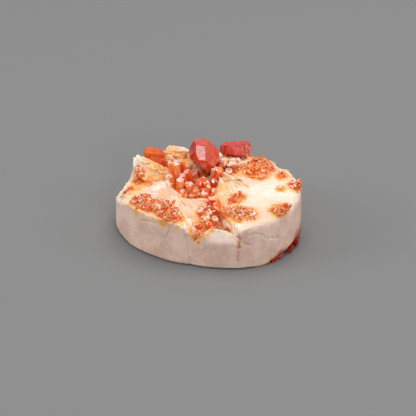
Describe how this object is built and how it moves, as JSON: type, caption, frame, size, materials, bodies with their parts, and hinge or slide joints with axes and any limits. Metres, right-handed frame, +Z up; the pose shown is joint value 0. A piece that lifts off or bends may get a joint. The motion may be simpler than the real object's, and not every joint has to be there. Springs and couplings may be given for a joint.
{
  "type": "vanadinite druzy",
  "caption": "Cut oval of white bladed barite with a flat base and a natural top, set with red six-sided vanadinite crystals in its hollow and on its edges.",
  "frame": {"origin": "on the flat cut base, near its middle, in the plane that the stone rests on", "axes": "+Z up from the base, +X to the right of the side that the picture shows, +Y towards its back"},
  "size_m": [0.027, 0.0225, 0.0112],
  "materials": {
    "barite": "satin, ground at the side and bladed on top",
    "vanadinite": "glossy crystal faces",
    "orange_vanadinite": "glossy crystal faces"
  },
  "bodies": {
    "root": {"barite_matrix": "barite", "tall_crystal": "vanadinite", "lying_crystal": "vanadinite", "hollow_crystals": "vanadinite", "gully_crystals": "vanadinite", "rim_crust": "vanadinite", "rosette": "vanadinite", "knot_cluster": "vanadinite", "lip_cluster": "vanadinite", "shoulder_cluster": "vanadinite", "edge_cluster": "vanadinite", "spot_cluster": "vanadinite", "left_cluster": "vanadinite", "pocket_crystals": "vanadinite", "underside_crystals": "vanadinite", "cavity_crystals": "orange_vanadinite", "orange_finger": "orange_vanadinite", "bead_crystal": "orange_vanadinite"}
  },
  "joints": []
}
